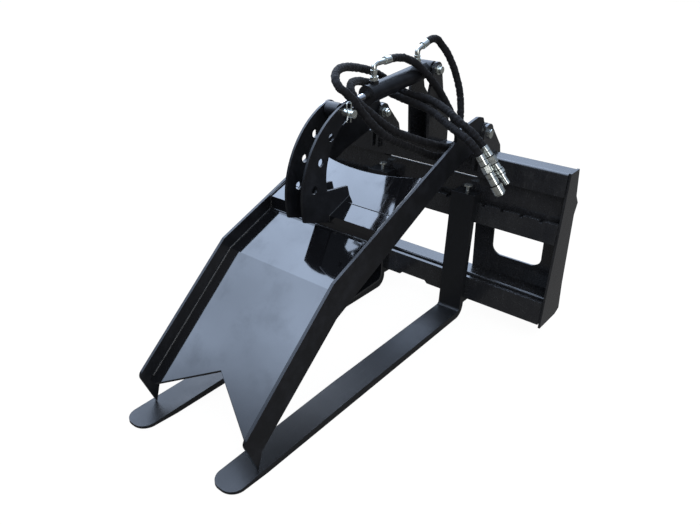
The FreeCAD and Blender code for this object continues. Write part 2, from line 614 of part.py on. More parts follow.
def decks():
    knee_slope = deck_slope("deck_knee_level", "deck_knee_depth", "deck_top_level", "deck_top_depth")
    front_slope = deck_slope("deck_front_level", "deck_front_depth", "deck_knee_level", "deck_knee_depth")
    low = "deck_thickness * sqrt(1 + %s * %s)"
    mitre = "((%s - %s) / (%s - %s))" % (low % (front_slope, front_slope), low % (knee_slope, knee_slope),
                                         front_slope, knee_slope)
    lower = [
        ("-deck_top_depth", "deck_top_level"),
        ("-deck_knee_depth", "deck_knee_level"),
        ("-deck_front_depth", "deck_front_level"),
        ("-deck_front_depth + deck_thickness * 0.7", "deck_front_level - deck_thickness * 0.65"),
        ("-deck_knee_depth + " + mitre,
         "deck_knee_level + %s * %s - %s" % (mitre, knee_slope, low % (knee_slope, knee_slope))),
        ("-deck_top_depth", "deck_top_level - " + low % (knee_slope, knee_slope)),
    ]
    width = "(2 * %s)" % arm_inner
    sheet_bar = plate("lower_deck_sheet", lower, width, x=minus(arm_inner))
    vee = [
        ("0", "-vee_depth"),
        ("-vee_half_width", "-deck_front_depth"),
        ("-vee_half_width", "-deck_front_depth - 60"),
        ("vee_half_width", "-deck_front_depth - 60"),
        ("vee_half_width", "-deck_front_depth"),
    ]
    vee_tool = plate("lower_deck_vee", vee, "300", z="50", plane="XY_Plane")
    node(without("lower_deck", sheet_bar, vee_tool))
    upper = [
        ("-deck_top_depth", "deck_top_level - deck_lap"),
        ("-deck_top_depth", "step_level"),
        ("-deck_bend_depth", "deck_bend_level"),
        ("-deck_end_depth", "deck_end_level"),
        ("-deck_end_depth", "deck_end_level - deck_thickness * 1.1"),
        ("-deck_bend_depth", "deck_bend_level - deck_thickness * 1.08"),
        ("-deck_top_depth + deck_thickness", "step_level - deck_thickness * 0.7"),
        ("-deck_top_depth + deck_thickness", "deck_top_level - deck_lap"),
    ]
    upper_bar = plate("upper_deck_sheet", upper, width, x=minus(arm_inner))
    scoop = bar("upper_deck_scoop", "z", "scoop_radius", "400", y="scoop_radius - scoop_depth", z="450")
    node(without("upper_deck", upper_bar, scoop))
    belly_top = "(deck_knee_level + (deck_knee_depth - belly_front_depth) * %s - %s)" % (
        knee_slope, low % (knee_slope, knee_slope))
    belly = [
        ("-belly_front_depth", belly_top),
        ("-belly_front_depth", "belly_front_level"),
        (minus(belly_rear), "belly_level"),
        (minus(belly_rear), "deck_top_level - belly_lap"),
        (minus(belly_rear + " + belly_thickness"), "deck_top_level - belly_lap"),
        (minus(belly_rear + " + belly_thickness"), "belly_level + belly_thickness"),
        ("-belly_front_depth + belly_thickness", "belly_front_level + belly_thickness"),
        ("-belly_front_depth + belly_thickness", belly_top),
    ]
    node(plate("belly_beam", belly, width, x=minus(arm_inner),
               rounds=[("belly_radius", [1, 2]), ("belly_radius - belly_thickness", [5, 6])]))
    node(box("belly_tie", width, "belly_tie_depth", "deck_thickness",
             x=minus(arm_inner), y="-deck_top_depth + deck_thickness", z="deck_top_level - belly_lap"))


def adjuster(side, start):
    upper_run = deck_slope("deck_bend_level", "deck_bend_depth", "deck_end_level", "deck_end_depth")
    outline = [
        ("-adjuster_heel_depth", "adjuster_heel_level", "adjuster_front_radius", -1),
        ("-adjuster_crown_depth", "adjuster_crown_level", "adjuster_crown_radius", -1),
        ("-adjuster_back_depth", "adjuster_back_level", "adjuster_back_radius", 1),
        ("-adjuster_waist_depth", "adjuster_waist_level"),
        (minus(adjuster_toe + " + adjuster_toe_rake"), "adjuster_toe_level"),
        (minus(adjuster_toe), "deck_bend_level + adjuster_toe_run * " + upper_run),
        ("-deck_bend_depth", "deck_bend_level"),
        ("-deck_top_depth", "step_level"),
        ("-deck_top_depth", "adjuster_foot_level"),
    ]
    holes = [("-hole_%s_depth" % name, "hole_%s_level" % name, "adjuster_hole_radius")
             for name in ("one", "two", "three")]
    holes.append(("-link_pin_depth", "link_pin_level", "link_pin_radius + running_gap"))
    node(plate("adjuster_plate_" + side, outline, "adjuster_thickness", x=start, holes=holes))


def link_pin():
    half = "(adjuster_gap / 2 + adjuster_thickness)"
    shaft = bar("link_pin_shaft", "x", "link_pin_radius", half + " + link_pin_reach", x=minus(half),
                y="-link_pin_depth", z="link_pin_level")
    head = bar("link_pin_head", "x", "link_head_radius", "link_head_length",
               x=minus(half) + " - link_head_length", y="-link_pin_depth", z="link_pin_level")
    outside = -number(half + " + link_head_length")
    depth = number(origin_depth) - number("link_pin_depth")
    level = number("link_pin_level")
    reach = number("link_handle_reach")
    spots = [(outside + number("link_head_length") / 2, level), (outside - reach / 3, level - 3),
             (outside - reach, level - number("link_handle_drop"))]
    handle = doc.addObject("Part::Feature", "link_pin_handle")
    handle.Label = "link_pin_handle"
    handle.Shape = swept([FreeCAD.Vector(x, depth, z) for x, z in spots], number("link_handle_radius"),
                         number("link_handle_bend"))[0]
    cross = bar("link_pin_cross_hole", "z", "clip_wire_radius + running_gap", "link_pin_radius * 4",
                x="clip_offset", y="-link_pin_depth", z="link_pin_level - link_pin_radius * 2")
    node(without("link_pin", joined("link_pin_blank", shaft, head, handle), cross))


def bent_path(points, radius=None):
    """Straight runs joined by tangent arcs: a wire, its length and the radii. Without a radius
    each arc takes 0.45 of the shorter run beside it."""
    runs = [points[index + 1].sub(points[index]) for index in range(len(points) - 1)]
    edges = []
    radii = []
    last = points[0]
    for index in range(1, len(points) - 1):
        before, after = runs[index - 1], runs[index]
        half_turn = before.getAngle(after) / 2
        reach = 0.45 * min(before.Length, after.Length)
        if radius is not None and len(points) == 3:
            reach = radius * math.tan(half_turn)
        elif radius is not None:
            reach = min(reach, radius * math.tan(half_turn))
        bend = reach / math.tan(half_turn)
        ahead = FreeCAD.Vector(before).normalize()
        onward = FreeCAD.Vector(after).normalize()
        start = points[index].sub(ahead * reach)
        end = points[index].add(onward * reach)
        inward = onward.sub(ahead).normalize()
        middle = points[index].add(inward * (bend / math.cos(half_turn) - bend))
        edges.append(Part.LineSegment(last, start).toShape())
        edges.append(Part.Arc(start, middle, end).toShape())
        radii.append(bend)
        last = end
    edges.append(Part.LineSegment(last, points[-1]).toShape())
    wire = Part.Wire(edges)
    return wire, sum(edge.Length for edge in edges), radii


def swept(points, thickness, radius=None):
    """A round bar or tube along a bent path, with its length and radii."""
    wire, length, radii = bent_path(points, radius)
    ahead = points[1].sub(points[0])
    ring = Part.Wire(Part.Circle(points[0], ahead, thickness).toShape())
    return wire.makePipeShell([ring], True, False, 0), length, radii


def hairpin_clip():
    """One wire: a straight leg through the pin, a loop above it and a leg that hugs the pin."""
    x = number("clip_offset")
    depth = number(origin_depth) - number("link_pin_depth")
    level = number("link_pin_level")
    reach = number("link_pin_radius")
    wire_radius = number("clip_wire_radius")
    loop = number("clip_loop_radius")
    foot = level - number("clip_leg_below")
    crest = level + reach + number("clip_rise")
    hug = reach + wire_radius + number("seat_gap")

    def point(along, up):
        return FreeCAD.Vector(x, depth - along, up)

    points = [point(0, foot), point(0, crest), point(2 * loop, crest), point(2 * loop, level + 17),
              point(hug, level + 3), point(hug, level - 5), point(hug + 6, foot + 4)]
    clip = doc.addObject("Part::Feature", "hairpin_clip")
    clip.Label = "hairpin_clip"
    clip.Shape = swept(points, wire_radius, loop)[0]
    node(clip)


# Cylinder: built upright on its own axis, then turned to lie between its two pins
def cylinder_axis():
    run = number("link_pin_depth + tower_pin_depth")
    drop = number("tower_pin_level - link_pin_level")
    return math.hypot(run, drop), math.degrees(math.atan2(drop, run))


pin_distance = "sqrt((link_pin_depth + tower_pin_depth)^2 + (tower_pin_level - link_pin_level)^2)"
cylinder_dip = "(90 + atan((tower_pin_level - link_pin_level) / (link_pin_depth + tower_pin_depth)) / 1deg)"


def laid(solid):
    """Turns a solid built along +Z from the tower pin so that it points at the link pin."""
    solid.Placement = FreeCAD.Placement(FreeCAD.Vector(), FreeCAD.Rotation(FreeCAD.Vector(1, 0, 0), 97))
    solid.setExpression("Placement.Rotation.Angle", bound(cylinder_dip))
    place(solid, "0", "tower_pin_depth", "tower_pin_level")
    return solid


def loose(kind, label, **sizes):
    """A primitive whose own place is measured along the cylinder."""
    solid = doc.addObject(kind, label)
    solid.Label = label
    for name, expression in sizes.items():
        path = {"x": "Placement.Base.x", "y": "Placement.Base.y", "z": "Placement.Base.z"}.get(name, name)
        solid.setExpression(path, bound(expression))
    return solid


def crosswise(solid):
    """Turns a round primitive so that it lies along X and keeps its place."""
    base = solid.Placement.Base
    solid.Placement = FreeCAD.Placement(base, TURN["x"])
    return solid


def cylinder():
    tube = loose("Part::Cylinder", "barrel_outside", Radius="barrel_radius", Height="barrel_length",
                 z="barrel_start")
    bore = loose("Part::Cylinder", "barrel_inside", Radius="barrel_bore", Height="barrel_length",
                 z="barrel_start + barrel_cap")
    node(laid(without("cylinder_barrel", tube, bore)))
    eye = crosswise(loose("Part::Cylinder", "base_eye_ring", Radius="eye_radius", Height="eye_width",
                          x="-eye_width / 2"))
    saddle = loose("Part::Cylinder", "base_eye_saddle", Radius="eye_neck_radius",
                   Height="barrel_start - eye_neck_start", z="eye_neck_start")
    hole = crosswise(loose("Part::Cylinder", "base_eye_hole", Radius="tower_pin_radius + running_gap",
                           Height="eye_width + 2", x="-eye_width / 2 - 1"))
    node(laid(without("barrel_base_eye", joined("base_eye_blank", eye, saddle), hole)))
    neck = loose("Part::Cylinder", "gland_neck", Radius="barrel_bore", Height="gland_length",
                 z="barrel_start + barrel_length - gland_length")
    nut = loose("Part::Cylinder", "gland_nut", Radius="gland_radius", Height="gland_nut_length",
                z="barrel_start + barrel_length")
    way = loose("Part::Cylinder", "gland_way", Radius="rod_radius + running_gap",
                Height="gland_length + 12", z="barrel_start + barrel_length - gland_length - 2")
    node(laid(without("cylinder_gland", joined("gland_blank", neck, nut), way)))
    piston_end = "(barrel_start + barrel_cap + piston_travel_left + piston_end_gap + piston_length)"
    piston = loose("Part::Cylinder", "cylinder_piston_disc", Radius="barrel_bore - running_gap",
                   Height="piston_length", z=piston_end + " - piston_length")
    rod_start = piston_end + " - rod_end_sink"
    seat = loose("Part::Cylinder", "piston_seat", Radius="rod_radius", Height="piston_length", z=rod_start)
    node(laid(without("cylinder_piston", piston, seat)))
    rod = loose("Part::Cylinder", "rod_bar", Radius="rod_radius",
                Height="%s - (%s)" % (pin_distance, rod_start), z=rod_start)
    saddle = crosswise(loose("Part::Cylinder", "rod_saddle", Radius="rod_eye_radius",
                             Height="rod_eye_width + 2", x="-rod_eye_width / 2 - 1", z=pin_distance))
    node(laid(without("cylinder_rod", rod, saddle)))
    ring = crosswise(loose("Part::Cylinder", "rod_eye_ring", Radius="rod_eye_radius", Height="rod_eye_width",
                           x="-rod_eye_width / 2", z=pin_distance))
    hole = crosswise(loose("Part::Cylinder", "rod_eye_hole", Radius="link_pin_radius + link_play",
                           Height="rod_eye_width + 2", x="-rod_eye_width / 2 - 1", z=pin_distance))
    node(laid(without("rod_eye", ring, hole)))


def fitting(side):
    """A welded port boss, a hexagon adapter, and an elbow with the crimped ferrule of its hose."""
    place_along = side + "_port_place"

    def upright(solid, height):
        solid.Placement = FreeCAD.Placement(FreeCAD.Vector(), TURN["y"])
        solid.setExpression("Placement.Base.y", bound(height))
        solid.setExpression("Placement.Base.z", bound(place_along))
        return solid

    boss = upright(loose("Part::Cylinder", "port_%s_bar" % side, Radius="port_boss_radius",
                         Height="port_boss_height + port_boss_sink"), "barrel_radius - port_boss_sink")
    round_bar = loose("Part::Cylinder", "port_%s_saddle" % side, Radius="barrel_radius", Height="60",
                      z=place_along + " - 30")
    node(laid(without("port_boss_" + side, boss, round_bar)))
    start = "(barrel_radius + port_boss_height)"
    neck = side + "_neck_height"
    hexagon_bar = upright(loose("Part::Prism", "adapter_hex_" + side, Circumradius="fitting_hex_radius",
                                Height="fitting_hex_height"), start)
    neck_bar = upright(loose("Part::Cylinder", "adapter_neck_" + side, Radius="fitting_neck_radius",
                             Height=neck), start + " + fitting_hex_height")
    collar = upright(loose("Part::Prism", "adapter_collar_" + side, Circumradius="collar_radius",
                           Height="collar_height"), start + " + fitting_hex_height + " + neck)
    node(laid(joined("adapter_" + side, hexagon_bar, neck_bar, collar)))
    elbow(side)


def elbow_points(side):
    """The corners of the elbow's centre line, and the way it points at its end."""
    length, dip = cylinder_axis()
    dip = math.radians(dip)
    along = FreeCAD.Vector(0, -math.cos(dip), -math.sin(dip))
    up = FreeCAD.Vector(0, -math.sin(dip), math.cos(dip))
    base = FreeCAD.Vector(0, number(origin_depth) + number("tower_pin_depth"), number("tower_pin_level"))
    height = number("barrel_radius + port_boss_height + fitting_hex_height + collar_height")
    height += number(side + "_neck_height")
    start = base.add(along * number(side + "_port_place")).add(up * height)
    turn = math.radians(number(side + "_elbow_turn"))
    way = up * math.cos(turn) + along * -math.sin(turn)
    corner = start.add(up * number("elbow_rise"))
    end = corner.add(way * number(side + "_elbow_reach"))
    return [start, corner, end], way


def elbow(side):
    points, way = elbow_points(side)
    tube = swept(points, number("elbow_radius"), number("elbow_bend"))[0]
    ferrule = Part.makeCylinder(number("ferrule_radius"), number("ferrule_length"), points[-1], way)
    bend_tube = doc.addObject("Part::Feature", "elbow_" + side)
    bend_tube.Label = "elbow_" + side
    bend_tube.Shape = tube.fuse(ferrule)
    node(bend_tube)


def hose_start(side):
    """Where a hose leaves its ferrule, and the way it points."""
    points, way = elbow_points(side)
    return points[-1].add(way * number("ferrule_length")), way


# Hoses: the corners of each centre line, from the elbow to the coupler, with the depth measured
# from the fork faces like every other size
HOSES = {
    "front": [
        (18, -146, 990), (48, -89, 945), (80, -17, 862), (122, 14, 775), (152, 6, 712),
        (162, -66, 700), (152, -170, 730), (124, -258, 762), (105, -375, 810), (72, -441, 866),
        (34, -484, 910), (-8, -455, 951), (-56, -321, 934), (-74, -190, 894), (-34, -159, 868),
        (26, -153, 855), (110, -150, 840), (184, -174, 815), (236, -192, 798),
    ],
    "rear": [
        (14, 50, 1027), (41, 98, 963), (82, 118, 845), (122, 57, 737), (150, -5, 672),
        (152, -136, 675), (120, -243, 723), (106, -362, 773), (98, -438, 817), (69, -490, 882),
        (52, -521, 927), (12, -546, 958), (-36, -487, 989), (-66, -375, 984), (-88, -193, 943),
        (-66, -128, 892), (-2, -133, 875), (84, -130, 872), (160, -138, 850), (228, -166, 826),
    ],
}
COUPLER_START = {"front": (327, -185, 735), "rear": (320, -150, 755)}
COUPLER_END = {"front": (407, -155, 614), "rear": (410, -120, 642)}


def in_frame(spot):
    return FreeCAD.Vector(spot[0], spot[1] + number(origin_depth), spot[2])


def coupler_axis(side):
    start = in_frame(COUPLER_START[side])
    return start, in_frame(COUPLER_END[side]).sub(start).normalize()


def hose_points(side):
    """The corners, with straight lead-ins along the elbow and along the coupler."""
    start, way = hose_start(side)
    end, onward = coupler_axis(side)
    corners = [in_frame(spot) for spot in HOSES[side]]
    lead = start.add(way * number("hose_lead"))
    tail = end.sub(onward * number("hose_tail"))
    return [start, lead] + corners + [tail, end]


def hose(side):
    points = hose_points(side)
    radius = number("hose_radius")
    tube, length, radii = swept(points, radius)
    item = doc.addObject("Part::Feature", "hose_" + side)
    item.Label = "hose_" + side
    item.Shape = tube
    node(item)
    ratio = tube.Volume / (math.pi * radius ** 2 * length)
    print("hose_%s length %.0f mm, volume over section times length %.4f, arc radii %s" % (
        side, length, ratio, " ".join("%.0f" % bend for bend in radii)))


def along(solid, side, offset):
    """Lays a round solid on the axis of a coupler, at a distance from the end of its hose."""
    start, onward = coupler_axis(side)
    solid.Placement = FreeCAD.Placement(start.add(onward * number(offset)),
                                        FreeCAD.Rotation(FreeCAD.Vector(0, 0, 1), onward))
    return solid


def couplers():
    hex_start = "crimp_length"
    body_start = "crimp_length + coupler_hex_length"
    male = [
        along(loose("Part::Cylinder", "male_crimp", Radius="crimp_radius",
                    Height="crimp_length"), "rear", "0"),
        along(loose("Part::Prism", "male_hex", Circumradius="coupler_hex_radius",
                    Height="coupler_hex_length"), "rear", hex_start),
        along(loose("Part::Cylinder", "male_body", Radius="male_body_radius",
                    Height="male_body_length"), "rear", body_start),
        along(loose("Part::Cylinder", "male_collar", Radius="male_collar_radius",
                    Height="male_collar_length"), "rear", body_start + " + male_body_length / 2"),
        along(loose("Part::Cylinder", "male_nose", Radius="male_nose_radius",
                    Height="male_nose_length"), "rear", body_start + " + male_body_length"),
    ]
    node(joined("coupler_male", *male))
    female = [
        along(loose("Part::Cylinder", "female_crimp", Radius="crimp_radius", Height="crimp_length"),
              "front", "0"),
        along(loose("Part::Prism", "female_hex", Circumradius="coupler_hex_radius",
                    Height="coupler_hex_length"), "front", hex_start),
        along(loose("Part::Cylinder", "female_body", Radius="female_body_radius",
                    Height="female_length - crimp_length - coupler_hex_length"), "front", body_start),
    ]
    bore = along(loose("Part::Cylinder", "female_bore", Radius="female_bore_radius",
                       Height="female_bore_depth + 1"), "front", "female_length - female_bore_depth")
    node(without("coupler_female", joined("female_blank", *female), bore))
    sleeve_start = "female_length - sleeve_setback - sleeve_length"
    ring = along(loose("Part::Cylinder", "sleeve_ring", Radius="sleeve_radius", Height="sleeve_length"),
                 "front", sleeve_start)
    inside = along(loose("Part::Cylinder", "sleeve_inside", Radius="female_body_radius + sleeve_gap",
                         Height="sleeve_length + 2"), "front", sleeve_start + " - 1")
    node(without("coupler_sleeve", ring, inside))


for side, sign in (("left", -1), ("right", 1)):
    fork(side, sign)
end_plate("left", "-carriage_width / 2")
end_plate("right", end_inner)
rails()
sheet_metal()
for side, sign in (("left", -1), ("right", 1)):
    mount_plate(side, sign)
    pivot(side, sign)
    arm_hub(side, sign)
tower()
arm_plate("left", "-arm_half_width")
arm_plate("right", arm_inner)
decks()
adjuster("left", "-adjuster_gap / 2 - adjuster_thickness")
adjuster("right", "adjuster_gap / 2")
link_pin()
hairpin_clip()
cylinder()
fitting("front")
fitting("rear")
hose("front")
hose("rear")
couplers()
doc.recompute()

for item in doc.Objects:
    if "Invalid" in item.State or "Error" in item.State:
        raise RuntimeError("%s did not build: %s" % (item.Label, item.State))
for item in nodes:
    shape = item.Shape
    if shape.isNull() or not shape.isValid() or shape.Volume <= 0:
        raise RuntimeError("%s has no valid solid" % item.Label)
    shape.exportStep("parts/%s.step" % item.Label)
    box_now = shape.BoundBox
    print("%-26s %6.1f %6.1f  %7.1f %7.1f  %7.1f %7.1f  solids %d" % (
        item.Label, box_now.XMin, box_now.XMax, box_now.YMin, box_now.YMax, box_now.ZMin, box_now.ZMax,
        len(shape.Solids)))
print("hose starts", hose_start("front"), hose_start("rear"))
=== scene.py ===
"""Finish and surroundings of a hydraulic fork grapple, over its measured solids."""

import json
import math

import bmesh
import bpy
from bpy.props import FloatProperty, FloatVectorProperty, PointerProperty
from mathutils import Matrix, Vector, noise
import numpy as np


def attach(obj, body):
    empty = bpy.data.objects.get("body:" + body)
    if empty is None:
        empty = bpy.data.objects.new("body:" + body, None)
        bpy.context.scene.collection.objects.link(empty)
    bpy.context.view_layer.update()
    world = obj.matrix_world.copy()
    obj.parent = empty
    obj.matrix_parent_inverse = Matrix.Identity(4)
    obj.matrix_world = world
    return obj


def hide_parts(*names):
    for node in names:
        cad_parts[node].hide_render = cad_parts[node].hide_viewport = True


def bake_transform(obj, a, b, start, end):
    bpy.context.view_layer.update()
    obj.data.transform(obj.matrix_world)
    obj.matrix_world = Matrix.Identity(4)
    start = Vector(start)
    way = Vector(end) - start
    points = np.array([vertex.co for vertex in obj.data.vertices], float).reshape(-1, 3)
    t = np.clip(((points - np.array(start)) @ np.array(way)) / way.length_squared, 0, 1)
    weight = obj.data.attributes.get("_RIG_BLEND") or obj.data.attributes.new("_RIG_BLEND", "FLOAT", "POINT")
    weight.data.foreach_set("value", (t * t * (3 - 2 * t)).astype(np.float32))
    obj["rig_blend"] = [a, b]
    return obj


bl_info = {
    "name": "Fork Grapple",
    "version": (1, 0, 0),
    "blender": (4, 5, 0),
    "location": "View3D > Sidebar > Grapple",
    "description": "Paint, hoses, weld beads and studio for a fork grapple",
    "category": "Object",
}

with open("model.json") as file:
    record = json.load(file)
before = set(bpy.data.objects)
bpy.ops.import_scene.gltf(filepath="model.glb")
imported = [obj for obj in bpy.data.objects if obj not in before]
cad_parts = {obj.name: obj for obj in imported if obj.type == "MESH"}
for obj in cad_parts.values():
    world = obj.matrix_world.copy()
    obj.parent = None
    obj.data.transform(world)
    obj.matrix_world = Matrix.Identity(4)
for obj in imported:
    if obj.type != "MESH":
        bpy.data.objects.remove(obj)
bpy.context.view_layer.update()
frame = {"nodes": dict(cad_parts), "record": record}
NODES = frame["nodes"]

# Hose routes, in metres: the corners of each hose from its elbow to its coupler
ROUTES = {
    "front": (
        (0.0, 0.24249, 1.00089), (0.0, 0.29234, 1.00476), (0.018, 0.3485, 0.99), (0.048, 0.4055, 0.945),
        (0.08, 0.4775, 0.862), (0.122, 0.5085, 0.775), (0.152, 0.5005, 0.712), (0.162, 0.4285, 0.7),
        (0.152, 0.3245, 0.73), (0.124, 0.2365, 0.762), (0.105, 0.1195, 0.81), (0.072, 0.0535, 0.866),
        (0.034, 0.0105, 0.91), (-0.008, 0.0395, 0.951), (-0.056, 0.1735, 0.934), (-0.074, 0.3045, 0.894),
        (-0.034, 0.3355, 0.868), (0.026, 0.3415, 0.855), (0.11, 0.3445, 0.84), (0.184, 0.3205, 0.815),
        (0.236, 0.3025, 0.798), (0.30432, 0.30099, 0.76931), (0.327, 0.3095, 0.735),
    ),
    "rear": (
        (0.0, 0.4655, 1.03684), (0.0, 0.51265, 1.05348), (0.014, 0.5445, 1.027), (0.041, 0.5925, 0.963),
        (0.082, 0.6125, 0.845), (0.122, 0.5515, 0.737), (0.15, 0.4895, 0.672), (0.152, 0.3585, 0.675),
        (0.12, 0.2515, 0.723), (0.106, 0.1325, 0.773), (0.098, 0.0565, 0.817), (0.069, 0.0045, 0.882),
        (0.052, -0.0265, 0.927), (0.012, -0.0515, 0.958), (-0.036, 0.0075, 0.989),
        (-0.066, 0.1195, 0.984), (-0.088, 0.3015, 0.943), (-0.066, 0.3665, 0.892),
        (-0.002, 0.3615, 0.875), (0.084, 0.3645, 0.872), (0.16, 0.3565, 0.85),
        (0.228, 0.3285, 0.826), (0.29438, 0.33596, 0.78717), (0.32, 0.3445, 0.755),
    ),
}
HOSE_END = {
    "front": ("coupler_female", "coupler_sleeve"),
    "rear": ("coupler_male",),
}
# Where a hose leaves the frame and where it has passed on to the barrel
HOSE_BLEND = {"start": (0.300, 0.38, 0.79), "end": (0.205, 0.34, 0.81)}
# The skin of a hose: points on its route between two corners, metres between its rings, and the
# corners of each ring
ROUTE_POINTS = 24
HOSE_STEP = 0.0021
HOSE_SIDES = 24
# Folds of the sleeve: their share, how many to the metre and how much they change round the hose
FOLDS = ((1.0, 95.0, 0.9), (0.6, 210.0, 1.7))
# The weave: threads along the hose, and metres between the threads across it
SLEEVE_MAP = "sleeve"
WARP_THREADS = 22
WEFT_PITCH = 0.0034

# Weld beads, in metres: the body, the bead's radius and the corner that it fills.
# Each line is laid on both sides of the part.
WELDS = {
    "deck_and_arm": ("arm", 0.0040, (
        (0.2204, -0.6225, 0.1190), (0.2204, -0.2837, 0.4376), (0.2204, -0.0945, 0.5214),
        (0.2204, -0.0941, 0.5652), (0.2204, -0.0247, 0.5934), (0.2204, 0.1560, 0.6750),
    )),
    "deck_bend": ("arm", 0.0013, ((0.0450, -0.0243, 0.5937), (0.2190, -0.0243, 0.5937))),
    "step_foot": ("arm", 0.0030, ((0.0, -0.0940, 0.5212), (0.2190, -0.0940, 0.5212))),
    "adjuster_outside": ("arm", 0.0028, (
        (0.0364, -0.0941, 0.5440), (0.0364, -0.0941, 0.5652),
        (0.0364, -0.0247, 0.5934), (0.0364, 0.0050, 0.6068),
    )),
    "adjuster_inside": ("arm", 0.0028, (
        (0.0276, -0.0941, 0.5440), (0.0276, -0.0941, 0.5652),
        (0.0276, -0.0247, 0.5934), (0.0276, 0.0050, 0.6068),
    )),
    "tower_outside": ("carriage", 0.0036, ((0.0454, 0.5250, 0.6724), (0.0454, 0.6050, 0.6724))),
    "tower_web": ("carriage", 0.0034, ((0.0, 0.5602, 0.6724), (0.0340, 0.5602, 0.6724))),
    "outer_ear_outside": ("carriage", 0.0034, (
        (0.2464, 0.5221, 0.6140), (0.2464, 0.5221, 0.6660), (0.2464, 0.5285, 0.6723),
        (0.2464, 0.6060, 0.6723), (0.2464, 0.6232, 0.6310),
    )),
    "outer_ear_inside": ("carriage", 0.0030, ((0.2357, 0.5290, 0.6722), (0.2357, 0.6060, 0.6722))),
    "inner_ear_outside": ("carriage", 0.0034, (
        (0.2096, 0.5221, 0.6140), (0.2096, 0.5221, 0.6660), (0.2096, 0.5285, 0.6723),
        (0.2096, 0.6060, 0.6723), (0.2096, 0.6232, 0.6310),
    )),
    "web_and_rail": ("carriage", 0.0032, ((0.0, 0.5390, 0.4234), (0.5540, 0.5390, 0.4234))),
    "web_and_back_plate": ("carriage", 0.0032, ((0.0, 0.5602, 0.4234), (0.5540, 0.5602, 0.4234))),
    "ledge_and_backing": ("carriage", 0.0034, ((0.0, 0.5390, 0.1583), (0.5540, 0.5390, 0.1583))),
    "ledge_end": ("carriage", 0.0032, ((0.5546, 0.5660, 0.1740), (0.5546, 0.6440, 0.1740))),
    "back_plate_end": ("carriage", 0.0032, ((0.5546, 0.5602, 0.4260), (0.5546, 0.5602, 0.6620))),
    "back_plate_rear": ("carriage", 0.0032, ((0.5546, 0.5688, 0.4120), (0.5546, 0.5688, 0.6620))),
}
# The weld round each arm hub: its body, its radius, the middle of the ring and the ring's radius
HUB_RING = ("arm", 0.0020, (0.2312, 0.5375, 0.7480), 0.0316)
HUB_RING_SIDES = 24
# The ripples of a bead: metres from one to the next, and their depth as a share of its radius
BEAD_RIPPLE = 0.0042
BEAD_RIPPLE_DEPTH = 0.07
# How far a bead's radius wanders, as a share of it, and how often to the metre
BEAD_SWAY = 0.30
BEAD_SWAY_SCALE = 55.0
# A bead's radius at its very end, as a share, and what each further ring adds until it is whole
BEAD_TIP = 0.35
BEAD_GROWTH = 0.25
BEAD_SIDES = 8

# Each coupler's place and direction, and its ring gaps of painted shade: distance along it and half width
COUPLER_RINGS = {
    "front": ((0.327, 0.3095, 0.735), (0.54010, 0.20254, -0.81690), (
        (0.0185, 0.0004), (0.0375, 0.0014), (0.0655, 0.0012),
        (0.0840, 0.0005), (0.1115, 0.0014), (0.1450, 0.0008),
    )),
    "rear": ((0.320, 0.3445, 0.755), (0.52912, 0.17637, -0.83001), (
        (0.0185, 0.0004), (0.0375, 0.0014), (0.0655, 0.0012), (0.0895, 0.0012), (0.1045, 0.0012),
    )),
}
# How far past its half width a gap's painted shade fades out, in metres
GAP_SHADE_EDGE = 0.0008

# Painted pieces that are duller than the decks
SATIN_PIECES = (
    "arm_plate_left", "arm_plate_right", "adjuster_plate_left", "adjuster_plate_right",
    "rod_eye", "cylinder_barrel", "cylinder_gland", "barrel_base_eye",
)

# Area lamps: place in metres, power in watts and width in metres
LAMPS = {
    "key_softbox": ((2.2, -1.6, 2.6), 22.0, 1.6),
    "back_softbox": ((-2.4, 1.8, 2.2), 14.0, 1.6),
    "side_softbox": ((3.0, -1.0, 1.2), 14.0, 1.1),
}
LAMP_TARGET = (0, 0, 0.4)
SENSOR_WIDTH = 36.0
FLOOR_REACH = 30.0


# Sizes and colours that a user may change
class GrappleFinish(bpy.types.PropertyGroup):
    black: FloatVectorProperty(name="Black paint", description="Colour of the frame and the arm",
                               subtype="COLOR", min=0.0, max=1.0, default=(0.006, 0.0066, 0.0085))
    fork_grey: FloatVectorProperty(name="Fork paint", description="Colour of the two forks",
                                   subtype="COLOR", min=0.0, max=1.0, default=(0.010, 0.011, 0.013))
    zinc: FloatVectorProperty(name="Zinc", description="Colour of the pins, fittings and couplers",
                              subtype="COLOR", min=0.0, max=1.0, default=(0.86, 0.90, 0.85))
    chrome: FloatVectorProperty(name="Chrome", description="Colour of the cylinder rod",
                                subtype="COLOR", min=0.0, max=1.0, default=(0.80, 0.80, 0.82))
    edge: FloatProperty(name="Edge softness", description="Radius that the light rounds on sharp edges",
                        unit="LENGTH", min=0.0, max=0.01, default=0.0012)


class GrappleHose(bpy.types.PropertyGroup):
    radius: FloatProperty(name="Radius", description="Radius over the woven sleeve", unit="LENGTH",
                          min=0.005, max=0.03, default=0.0135)
    colour: FloatVectorProperty(name="Sleeve", description="Colour of the woven sleeve",
                                subtype="COLOR", min=0.0, max=1.0, default=(0.006, 0.006, 0.0075))
    crease: FloatProperty(name="Crease depth", description="How far the sleeve's creases go in",
                          unit="LENGTH", min=0.0, max=0.003, default=0.0012)
    rumple: FloatProperty(name="Rumple", description="How far the sleeve's folds stand in and out",
                          unit="LENGTH", min=0.0, max=0.004, default=0.0017)
    rib: FloatProperty(name="Crease spacing", description="Distance between the creases", unit="LENGTH",
                       min=0.004, max=0.05, default=0.017)


